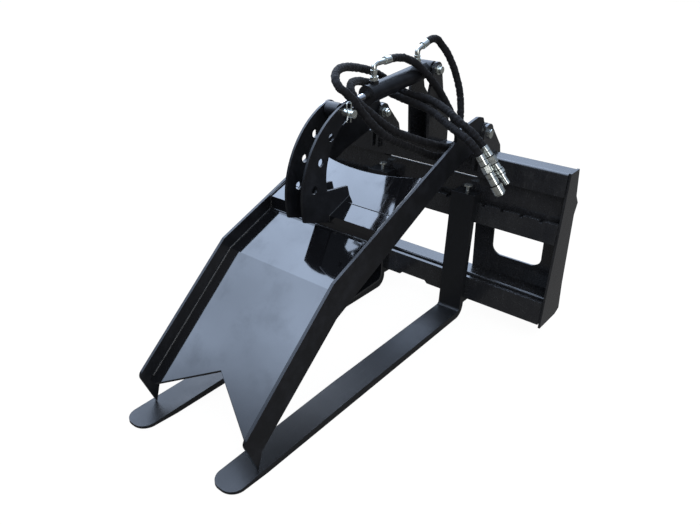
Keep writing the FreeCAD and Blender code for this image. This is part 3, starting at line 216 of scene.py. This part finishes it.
class GrappleStudio(bpy.types.PropertyGroup):
    camera: FloatVectorProperty(name="Camera place", description="Where the camera stands",
                                subtype="TRANSLATION", unit="LENGTH", default=(1.1533, -1.4644, 1.2952))
    azimuth: FloatProperty(name="Azimuth", description="Turn of the camera about the vertical",
                           subtype="ANGLE", default=math.radians(36.9))
    elevation: FloatProperty(name="Elevation", description="How far the camera looks down",
                             subtype="ANGLE", default=math.radians(26.8))
    roll: FloatProperty(name="Roll", description="Tilt of the camera about its line of sight",
                        subtype="ANGLE", default=math.radians(2.3))
    lens: FloatProperty(name="Lens", description="Focal length in millimetres on a 36 mm sensor",
                        min=10.0, max=200.0, default=31.19)
    sky: FloatVectorProperty(name="Overhead light", description="Colour of the light overhead",
                             subtype="COLOR", min=0.0, max=1.0, default=(0.615, 0.755, 1.0))
    overhead: FloatProperty(name="Overhead gleam", min=0.0, max=10.0, default=5.4,
                            description="Strength of the light that gloss paint mirrors")
    fill: FloatProperty(name="Fill", description="Strength of the soft light from all round",
                        min=0.0, max=3.0, default=0.7)


# Shader maths: a wrapped socket that takes Python's own operators
class Number:
    def __init__(self, finish, socket):
        self.finish = finish
        self.socket = socket

    def maths(self, operation, *others):
        return self.finish.node("ShaderNodeMath", {"operation": operation}, self, *others)

    def __add__(self, other):
        return self.maths("ADD", other)

    def __radd__(self, other):
        return self.maths("ADD", other)

    def __sub__(self, other):
        return self.maths("SUBTRACT", other)

    def __rsub__(self, other):
        return self.finish.node("ShaderNodeMath", {"operation": "SUBTRACT"}, other, self)

    def __mul__(self, other):
        return self.maths("MULTIPLY", other)

    def __rmul__(self, other):
        return self.maths("MULTIPLY", other)

    def sine(self):
        return self.maths("SINE")

    def size(self):
        return self.maths("ABSOLUTE")

    def between(self, low, high, start=0.0, end=1.0):
        """Runs smoothly from start to end while this number goes from low to high."""
        return self.finish.node("ShaderNodeMapRange", {"interpolation_type": "SMOOTHSTEP"},
                                self, low, high, start, end)


class Finish:
    """The node tree of a material, or of the world if one is given."""

    def __init__(self, name, world=None):
        self.data = world or bpy.data.materials.new(name)
        self.data.use_nodes = True
        self.tree = self.data.node_tree
        self.tree.nodes.clear()

    def node(self, kind, settings, *values, output=0, **named):
        """Adds a node: its settings first, then its sockets by place or by name."""
        made = self.tree.nodes.new(kind)
        for key, value in settings.items():
            setattr(made, key, value)
        for place, value in enumerate(values):
            self.feed(made.inputs[place], value)
        for key, value in named.items():
            self.feed(made.inputs[key.replace("_", " ")], value)
        return Number(self, made.outputs[output])

    def feed(self, socket, value):
        if value is None:
            return
        if isinstance(value, Number):
            self.tree.links.new(value.socket, socket)
        elif socket.type == "RGBA":
            socket.default_value = tuple(value)[:3] + (1.0,)
        else:
            socket.default_value = value

    def place(self):
        return self.node("ShaderNodeTexCoord", {}, output="Object")

    def parts(self, vector):
        made = self.tree.nodes.new("ShaderNodeSeparateXYZ")
        self.feed(made.inputs[0], vector)
        return [Number(self, output) for output in made.outputs]

    def noise(self, where, scale, detail=3.0, roughness=0.5):
        return self.node("ShaderNodeTexNoise", {}, Vector=where, Scale=scale, Detail=detail,
                         Roughness=roughness)

    def ramp(self, factor, *stops):
        made = self.tree.nodes.new("ShaderNodeValToRGB")
        band = made.color_ramp
        while len(band.elements) < len(stops):
            band.elements.new(0.5)
        for element, (spot, colour) in zip(band.elements, stops):
            element.position = spot
            element.color = tuple(colour) + (1.0,)
        self.feed(made.inputs["Fac"], factor)
        return Number(self, made.outputs["Color"])

    def blend(self, factor, first, second):
        made = self.tree.nodes.new("ShaderNodeMix")
        made.data_type = "RGBA"
        self.feed(made.inputs[0], factor)
        self.feed(made.inputs[6], first)
        self.feed(made.inputs[7], second)
        return Number(self, made.outputs[2])

    def surface(self, **sockets):
        shader = self.tree.nodes.new("ShaderNodeBsdfPrincipled")
        for key, value in sockets.items():
            self.feed(shader.inputs[key.replace("_", " ")], value)
        end = self.tree.nodes.new("ShaderNodeOutputMaterial")
        self.tree.links.new(shader.outputs[0], end.inputs["Surface"])
        return self.data

    def bump(self, height, distance, strength, normal=None):
        return self.node("ShaderNodeBump", {}, Strength=strength, Distance=distance, Height=height,
                         Normal=normal)

    def soft_edges(self, radius):
        return self.node("ShaderNodeBevel", {"samples": 6}, radius)

    def rays(self):
        """Masks for the rays that see the background and for those that gloss sends on."""
        path = self.tree.nodes.new("ShaderNodeLightPath")
        camera = Number(self, path.outputs["Is Camera Ray"])
        through = Number(self, path.outputs["Is Transmission Ray"])
        return camera + through, Number(self, path.outputs["Is Glossy Ray"])

    def show(self, end, factor, first, second):
        """Sends the mix of two shaders to the output."""
        mix = self.node("ShaderNodeMixShader", {}, factor, first, second)
        self.feed(self.tree.nodes.new(end).inputs["Surface"], mix)


def paler(colour, times):
    return [part * times for part in colour]


# Noise scales are in waves to the metre and bump distances in metres
def black_paint(look):
    """Gloss paint on sheet: orange peel, slow waves of the rolled steel, dust and wiped smears."""
    made = Finish("black_paint_gloss")
    where = made.place()
    peel = made.noise(where, 420.0, 2.0)
    waves = made.noise(where, 9.0, 2.0)
    dust = made.noise(where, 34.0, 6.0, 0.7)
    smears = made.noise(where, 8.0, 6.0, 0.65).between(0.46, 0.74)
    rolled = made.bump(waves, 0.0012, 0.35, made.soft_edges(look.edge))
    return made.surface(
        Base_Color=made.blend(dust.between(0.5, 0.85) * 0.5, look.black, paler(look.black, 1.9)),
        Roughness=0.07 + dust.between(0.45, 0.75) * 0.05,
        IOR=1.5,
        Coat_Weight=0.72 - smears * 0.34,
        Coat_Roughness=0.04,
        Normal=made.bump(peel, 0.00004, 0.4, rolled),
    )


def dusty_paint(look):
    """The same paint on the frame, under dust and the streaks of a dried film."""
    made = Finish("black_paint_dusty")
    where = made.place()
    peel = made.noise(where, 380.0, 2.0)
    waves = made.noise(where, 12.0, 2.0)
    dust = made.noise(where, 26.0, 6.0, 0.7).between(0.42, 0.78)
    streaks = made.node("ShaderNodeMapping", {}, Vector=where, Scale=(24.0, 24.0, 3.0))
    film = made.noise(streaks, 2.0, 5.0, 0.65).between(0.45, 0.8)
    rolled = made.bump(waves, 0.0012, 0.35, made.soft_edges(look.edge))
    cover = 0.2 + dust * 0.3 + film * 0.25
    return made.surface(
        Base_Color=made.blend(cover, paler(look.black, 1.6), (0.042, 0.043, 0.046)),
        Roughness=0.20 + dust * 0.12 + film * 0.06,
        IOR=1.5,
        Coat_Weight=0.35,
        Coat_Roughness=0.10,
        Normal=made.bump(peel, 0.00005, 0.5, rolled),
    )


def fork_paint(look):
    """Thin paint on the forged blades, rubbed along their length."""
    made = Finish("fork_paint_satin")
    where = made.place()
    cloud = made.noise(where, 14.0, 5.0, 0.6)
    grain = made.noise(where, 260.0, 3.0)
    long_way = made.node("ShaderNodeMapping", {}, Vector=where, Scale=(40.0, 2.0, 40.0))
    rub = made.noise(long_way, 3.0, 5.0, 0.65).between(0.55, 0.8)
    return made.surface(
        Base_Color=made.blend(rub * 0.5, look.fork_grey, (0.034, 0.036, 0.041)),
        Roughness=0.32 + cloud * 0.18,
        IOR=1.42,
        Normal=made.bump(grain, 0.0001, 0.5, made.soft_edges(look.edge * 1.6)),
    )


def plated(made, look, clear_of_painted_shade):
    """Cloudy zinc, painted near black as shade where the given mask is 0."""
    where = made.place()
    cloud = made.noise(where, 60.0, 4.0, 0.6)
    fine = made.noise(where, 700.0, 2.0)
    bright = made.ramp(cloud, (0.3, paler(look.zinc, 0.78)), (0.7, look.zinc))
    # Painted shade: near-black zinc in the gaps between a coupler's rings, where the mask is 0
    return made.surface(
        Base_Color=made.blend(clear_of_painted_shade, (0.02, 0.022, 0.02), bright),
        Metallic=0.9,
        Roughness=0.13 + cloud * 0.15,
        Normal=made.bump(fine, 0.00003, 0.4, made.soft_edges(look.edge * 0.5)),
    )


def zinc_plate(look):
    return plated(Finish("zinc_plate"), look, 1.0)


def gap_shaded_plate(look, side):
    """Zinc with painted shade in the gaps between the rings of a coupler."""
    made = Finish("zinc_coupler_" + side)
    start, way, gaps = COUPLER_RINGS[side]
    reach = made.node("ShaderNodeVectorMath", {"operation": "DOT_PRODUCT"}, made.place(), way,
                      output="Value")
    run = reach - Vector(start).dot(Vector(way))
    # Painted shade mask: 0 in each gap between the rings, 1 elsewhere
    clear_of_painted_shade = 1.0
    for gap, width in gaps:
        clear_of_painted_shade = (run - gap).size().between(width, width + GAP_SHADE_EDGE) * clear_of_painted_shade
    return plated(made, look, clear_of_painted_shade)


def satin_black(look):
    """Duller paint on cut plates and on the cylinder."""
    made = Finish("black_paint_satin")
    where = made.place()
    cut = made.noise(where, 240.0, 4.0, 0.6)
    cloud = made.noise(where, 20.0, 5.0, 0.65).between(0.4, 0.8)
    return made.surface(
        Base_Color=made.blend(cloud, look.black, paler(look.black, 2.4)),
        Roughness=0.30 + cut * 0.22,
        IOR=1.4,
        Coat_Weight=0.12,
        Coat_Roughness=0.12,
        Normal=made.bump(cut, 0.00012, 0.5, made.soft_edges(look.edge)),
    )


def chrome_rod(look):
    made = Finish("chrome_rod")
    film = made.noise(made.place(), 22.0, 3.0)
    return made.surface(
        Base_Color=look.chrome,
        Metallic=1.0,
        Roughness=0.05 + film * 0.06,
        Normal=made.soft_edges(look.edge * 0.5),
    )


def bare_steel(look):
    made = Finish("machined_steel")
    turned = made.noise(made.place(), 300.0, 3.0)
    return made.surface(
        Base_Color=(0.42, 0.42, 0.43),
        Metallic=1.0,
        Roughness=0.3 + turned * 0.15,
        Normal=made.soft_edges(look.edge * 0.5),
    )


def sleeve_cloth(look):
    """Woven nylon, faded in places; the map runs round the sleeve and along it in metres."""
    made = Finish("woven_hose_sleeve")
    round_it, along_it, _ = made.parts(made.node("ShaderNodeUVMap", {"uv_map": SLEEVE_MAP}))
    warp = (round_it * (2 * math.pi * WARP_THREADS)).sine()
    weft = (along_it * (2 * math.pi / WEFT_PITCH)).sine()
    weave = warp * weft
    fuzz = made.noise(made.place(), 900.0, 3.0, 0.7)
    worn = made.noise(made.place(), 30.0, 4.0, 0.6)
    shade = made.blend(worn.between(0.42, 0.72) * 0.7, look.colour, paler(look.colour, 2.3))
    return made.surface(
        Base_Color=made.blend(weave.between(-1.0, 1.0) * 0.45, shade, (0.006, 0.006, 0.007)),
        Roughness=0.62 + fuzz * 0.2,
        IOR=1.3,
        Sheen_Weight=0.08,
        Sheen_Roughness=0.4,
        Normal=made.bump(weave * 0.5 + fuzz, 0.0005, 0.7),
    )


def weld_metal(look):
    made = Finish("painted_weld")
    spatter = made.noise(made.place(), 350.0, 4.0)
    return made.surface(
        Base_Color=made.blend(spatter.between(0.4, 0.7) * 0.6, look.black, (0.030, 0.030, 0.032)),
        Roughness=0.16 + spatter * 0.1,
        Coat_Weight=0.6,
        Coat_Roughness=0.06,
        Normal=made.bump(spatter, 0.0002, 0.5),
    )


FINISHES = {
    "black_paint": black_paint,
    "dusty_paint": dusty_paint,
    "satin_black": satin_black,
    "fork_paint": fork_paint,
    "zinc_plate": zinc_plate,
    "chrome_rod": chrome_rod,
    "bare_steel": bare_steel,
}


def node_slots():
    """The finish of each CAD node: its slot in the record, and dusty paint on the frame."""
    slots = {part["node"]: part["material_slot"] for part in frame["record"]["subparts"]}
    for name in frame["record"]["behaviour"]["bodies"]["carriage"]:
        if slots[name] == "black_paint":
            slots[name] = "dusty_paint"
    for name in SATIN_PIECES:
        slots[name] = "satin_black"
    for side, names in HOSE_END.items():
        for name in names:
            slots[name] = "coupler_" + side
    return slots


def new_piece(name, work, finish):
    mesh = bpy.data.meshes.new(name)
    work.to_mesh(mesh)
    work.free()
    mesh.materials.append(finish)
    mesh.shade_smooth()
    made = bpy.data.objects.new(name, mesh)
    bpy.context.scene.collection.objects.link(made)
    return made


def route_line(side):
    """Points along the hose's own smooth curve."""
    curve = bpy.data.curves.new("hose_route_" + side, "CURVE")
    curve.dimensions = "3D"
    curve.resolution_u = ROUTE_POINTS
    spline = curve.splines.new("NURBS")
    corners = ROUTES[side]
    spline.points.add(len(corners) - 1)
    for point, spot in zip(spline.points, corners):
        point.co = spot + (1.0,)
    spline.order_u = 3
    spline.use_endpoint_u = True
    holder = bpy.data.objects.new("hose_route_" + side, curve)
    bpy.context.scene.collection.objects.link(holder)
    bpy.context.view_layer.update()
    line = bpy.data.meshes.new_from_object(holder)
    points = [vertex.co.copy() for vertex in line.vertices]
    bpy.data.meshes.remove(line)
    bpy.data.objects.remove(holder)
    bpy.data.curves.remove(curve)
    return points


def spaced(points, step):
    """The same line with its points a step apart."""
    run = [0.0]
    for first, second in zip(points, points[1:]):
        run.append(run[-1] + (second - first).length)
    count = max(2, round(run[-1] / step))
    found = []
    place = 0
    for number in range(count + 1):
        goal = run[-1] * number / count
        while place < len(points) - 2 and run[place + 1] < goal:
            place += 1
        share = (goal - run[place]) / max(run[place + 1] - run[place], 1e-9)
        found.append(points[place].lerp(points[place + 1], share))
    return found, run[-1]


def crossings(points):
    """A matrix at each point, with Z along the line and no twist."""
    made = []
    across = None
    for place, point in enumerate(points):
        before = points[max(place - 1, 0)]
        after = points[min(place + 1, len(points) - 1)]
        way = (after - before).normalized()
        if across is None:
            across = way.orthogonal().normalized()
        across = (across - way * across.dot(way)).normalized()
        other = way.cross(across)
        turn = Matrix((across, other, way)).transposed().to_4x4()
        made.append(Matrix.Translation(point) @ turn)
    return made


def swept_skin(places, sizes, segments, uv_map=None):
    """A closed tube through the places, with its own radius at each: a grid rolled up along them."""
    last = len(places) - 1
    runs = [0.0]
    for first, second in zip(places, places[1:]):
        runs.append(runs[-1] + (second.translation - first.translation).length)
    work = bmesh.new()
    turn_layer = work.verts.layers.float.new("turn")
    run_layer = work.verts.layers.float.new("run")
    bmesh.ops.create_grid(work, x_segments=segments, y_segments=last, size=0.5)
    for vertex in work.verts:
        vertex[turn_layer] = vertex.co.x + 0.5
        vertex[run_layer] = round((vertex.co.y + 0.5) * last)
    if uv_map:
        uv = work.loops.layers.uv.new(uv_map)
        for face in work.faces:
            for loop in face.loops:
                loop[uv].uv = (loop.vert[turn_layer], runs[int(loop.vert[run_layer])])
    for vertex in work.verts:
        angle = 2 * math.pi * vertex[turn_layer]
        number = int(vertex[run_layer])
        vertex.co = places[number] @ (Vector((math.cos(angle), math.sin(angle), 0.0)) * sizes[number])
        vertex[run_layer] = runs[number]
    bmesh.ops.remove_doubles(work, verts=work.verts, dist=1e-6)
    bmesh.ops.holes_fill(work, edges=[edge for edge in work.edges if edge.is_boundary], sides=0)
    bmesh.ops.recalc_face_normals(work, faces=work.faces)
    return work


def bead(points, radius):
    """A weld bead along the points, with its scale-like ripples and drawn-in ends."""
    line, length = spaced([Vector(point) for point in points], BEAD_RIPPLE / 4)
    last = len(line) - 1
    sizes = []
    for number, point in enumerate(line):
        wave = BEAD_RIPPLE_DEPTH * math.cos(2 * math.pi * length * number / last / BEAD_RIPPLE)
        sway = BEAD_SWAY * noise.noise(point * BEAD_SWAY_SCALE)
        taper = min(1.0, BEAD_TIP + BEAD_GROWTH * min(number, last - number))
        sizes.append(radius * (1.0 + wave + sway) * taper)
    return swept_skin(crossings(line), sizes, BEAD_SIDES)


def both_sides(points):
    """The same line on the right and on the left; a line from the middle is carried across."""
    other = [(-x, y, z) for x, y, z in points]
    if points[0][0] == 0.0:
        return [list(reversed(other)) + list(points[1:])]
    return [list(points), other]


def crease(turn, seed):
    """How far in the sleeve's creases go, from 0 to 1: three waves that never quite repeat."""
    second = 0.6 * math.sin(turn * 2.17 + 2 * seed)
    third = 0.4 * math.sin(turn * 3.7 + seed)
    return 0.5 - (math.sin(turn + seed) + second + third) / 4.0


def rumpled(work, depth):
    """Push a sleeve in and out in loose folds that lie mostly round the hose."""
    work.normal_update()
    turn_layer = work.verts.layers.float["turn"]
    run_layer = work.verts.layers.float["run"]
    for vertex in work.verts:
        angle = 2 * math.pi * vertex[turn_layer]
        across = Vector((0.0, math.cos(angle), math.sin(angle)))
        along = Vector((vertex[run_layer], 0.0, 0.0))
        fold = sum(share * noise.noise(along * often + across * turn) for share, often, turn in FOLDS)
        vertex.co += vertex.normal * depth * fold


class GRAPPLE_OT_paint(bpy.types.Operator):
    """Give every solid its paint or metal"""

    bl_idname = "grapple.paint"
    bl_label = "Paint and metal"

    def execute(self, context):
        look = context.scene.grapple_finish
        made = {slot: build(look) for slot, build in FINISHES.items()}
        for side in COUPLER_RINGS:
            made["coupler_" + side] = gap_shaded_plate(look, side)
        slots = node_slots()
        for name, node in NODES.items():
            finish = made.get(slots[name], made["black_paint"])
            if not node.material_slots:
                node.data.materials.append(finish)
            for slot in node.material_slots:
                slot.material = finish
        return {"FINISHED"}


class GRAPPLE_OT_welds(bpy.types.Operator):
    """Lay the weld beads along the corners of the frame and the arm"""

    bl_idname = "grapple.welds"
    bl_label = "Weld beads"

    def execute(self, context):
        metal = weld_metal(context.scene.grapple_finish)
        work = {"arm": bmesh.new(), "carriage": bmesh.new()}
        for body, radius, points in WELDS.values():
            for line in both_sides(points):
                self.lay(work[body], line, radius)
        body, radius, (x, y, z), ring = HUB_RING
        turns = [2 * math.pi * number / HUB_RING_SIDES for number in range(HUB_RING_SIDES + 1)]
        circle = [(x, y + ring * math.cos(turn), z + ring * math.sin(turn)) for turn in turns]
        for line in both_sides(circle):
            self.lay(work[body], line, radius)
        for body, beads in work.items():
            made = new_piece("weld_beads_" + body, beads, metal)
            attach(made, body)
        return {"FINISHED"}

    def lay(self, beads, line, radius):
        """Adds one bead to the body's mesh."""
        strip = bead(line, radius)
        mesh = bpy.data.meshes.new("bead")
        strip.to_mesh(mesh)
        strip.free()
        beads.from_mesh(mesh)
        bpy.data.meshes.remove(mesh)


class GRAPPLE_OT_hoses(bpy.types.Operator):
    """Run the two sleeved hoses from the cylinder to their couplers"""

    bl_idname = "grapple.hoses"
    bl_label = "Hoses"

    def execute(self, context):
        look = context.scene.grapple_hose
        cloth = sleeve_cloth(look)
        for number, side in enumerate(ROUTES):
            line, length = spaced(route_line(side), HOSE_STEP)
            seed = 1.3 * number + 0.4
            step = length / (len(line) - 1)
            turns = [2 * math.pi * step * place / look.rib for place in range(len(line))]
            sizes = [look.radius - look.crease * crease(turn, seed) for turn in turns]
            skin = swept_skin(crossings(line), sizes, HOSE_SIDES, SLEEVE_MAP)
            rumpled(skin, look.rumple)
            made = new_piece("hose_sleeve_" + side, skin, cloth)
            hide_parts("hose_" + side)
            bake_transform(made, "carriage", "barrel", start=HOSE_BLEND["start"], end=HOSE_BLEND["end"])
        return {"FINISHED"}


class GRAPPLE_OT_studio(bpy.types.Operator):
    """Set up the camera, the floor and the light"""

    bl_idname = "grapple.studio"
    bl_label = "Studio"

    def execute(self, context):
        look = context.scene.grapple_studio
        self.camera(context, look)
        self.floor()
        self.world(context, look)
        self.lamps(context)
        context.scene.view_settings.view_transform = "Standard"
        return {"FINISHED"}

    def camera(self, context, look):
        data = bpy.data.cameras.new("photo_camera")
        data.lens = look.lens
        data.sensor_width = SENSOR_WIDTH
        data.clip_start = 0.02
        made = bpy.data.objects.new("photo_camera", data)
        heading = Matrix.Rotation(look.azimuth, 4, "Z")
        tilt = Matrix.Rotation(math.pi / 2 - look.elevation, 4, "X")
        roll = Matrix.Rotation(look.roll, 4, "Z")
        made.matrix_world = Matrix.Translation(look.camera) @ heading @ tilt @ roll
        context.scene.collection.objects.link(made)
        context.scene.camera = made

    def floor(self):
        """White to the camera, with a trace of the shadow, and dim in the paint's gloss."""
        made = Finish("pale_floor")
        seen, mirrored = made.rays()
        grey = made.blend(seen, (0.30, 0.30, 0.31), (0.90, 0.90, 0.90))
        plain = made.node("ShaderNodeBsdfDiffuse", {}, grey)
        white = made.node("ShaderNodeEmission", {}, (1.0, 1.0, 1.0), seen * 1.075 + mirrored * 0.12)
        made.show("ShaderNodeOutputMaterial", seen * 0.88 + mirrored, plain, white)
        work = bmesh.new()
        bmesh.ops.create_grid(work, x_segments=1, y_segments=1, size=FLOOR_REACH)
        new_piece("studio_floor", work, made.data)

    def world(self, context, look):
        """A cloudy sky for the paint to mirror, brightest overhead, and plain white to the camera."""
        world = bpy.data.worlds.new("studio_dome")
        context.scene.world = world
        made = Finish("studio_dome", world)
        seen, mirrored = made.rays()
        way = made.node("ShaderNodeTexCoord", {}, output="Generated")
        side, ahead, up = made.parts(way)
        clouds = made.noise(way, 4.5, 4.0, 0.55).between(0.35, 0.65, 0.82, 1.14)
        overhead = up.between(0.05, 0.74, 0.12, look.overhead) * side.between(-0.30, 0.15, 1.0, 0.12)
        overhead = overhead * ahead.between(-0.66, -0.51, 0.35, 1.0) * clouds
        level = mirrored * overhead + (1.0 - mirrored) * look.fill
        tint = made.blend(mirrored, (0.93, 0.96, 1.0), look.sky)
        sky = made.node("ShaderNodeBackground", {}, tint, level)
        white = made.node("ShaderNodeBackground", {}, (1.0, 1.0, 1.0), 1.0)
        made.show("ShaderNodeOutputWorld", seen, sky, white)

    def lamps(self, context):
        for name, (spot, power, size) in LAMPS.items():
            data = bpy.data.lights.new(name, "AREA")
            data.energy = power
            data.size = size
            made = bpy.data.objects.new(name, data)
            made.location = spot
            aim = Vector(LAMP_TARGET) - made.location
            made.rotation_euler = aim.to_track_quat("-Z", "Y").to_euler()
            context.scene.collection.objects.link(made)


class GRAPPLE_PT_panel(bpy.types.Panel):
    """Lists the grapple's steps and their settings"""

    bl_idname = "GRAPPLE_PT_panel"
    bl_label = "Fork Grapple"
    bl_space_type = "VIEW_3D"
    bl_region_type = "UI"
    bl_category = "Grapple"

    def draw(self, context):
        layout = self.layout
        for step in STEPS:
            layout.operator(step.bl_idname)
        for group in GROUPS:
            settings = getattr(context.scene, group)
            box = layout.box()
            for name in settings.__annotations__:
                box.prop(settings, name)


STEPS = (GRAPPLE_OT_paint, GRAPPLE_OT_welds, GRAPPLE_OT_hoses, GRAPPLE_OT_studio)
GROUPS = {
    "grapple_finish": GrappleFinish,
    "grapple_hose": GrappleHose,
    "grapple_studio": GrappleStudio,
}


def register():
    for kind in tuple(GROUPS.values()) + STEPS + (GRAPPLE_PT_panel,):
        bpy.utils.register_class(kind)
    for name, kind in GROUPS.items():
        setattr(bpy.types.Scene, name, PointerProperty(type=kind))


def unregister():
    for name in GROUPS:
        delattr(bpy.types.Scene, name)
    for kind in (GRAPPLE_PT_panel,) + STEPS[::-1] + tuple(GROUPS.values())[::-1]:
        bpy.utils.unregister_class(kind)


def main():
    register()
    bpy.ops.grapple.paint()
    bpy.ops.grapple.welds()
    bpy.ops.grapple.hoses()
    bpy.ops.grapple.studio()


if __name__ == "__main__":
    main()
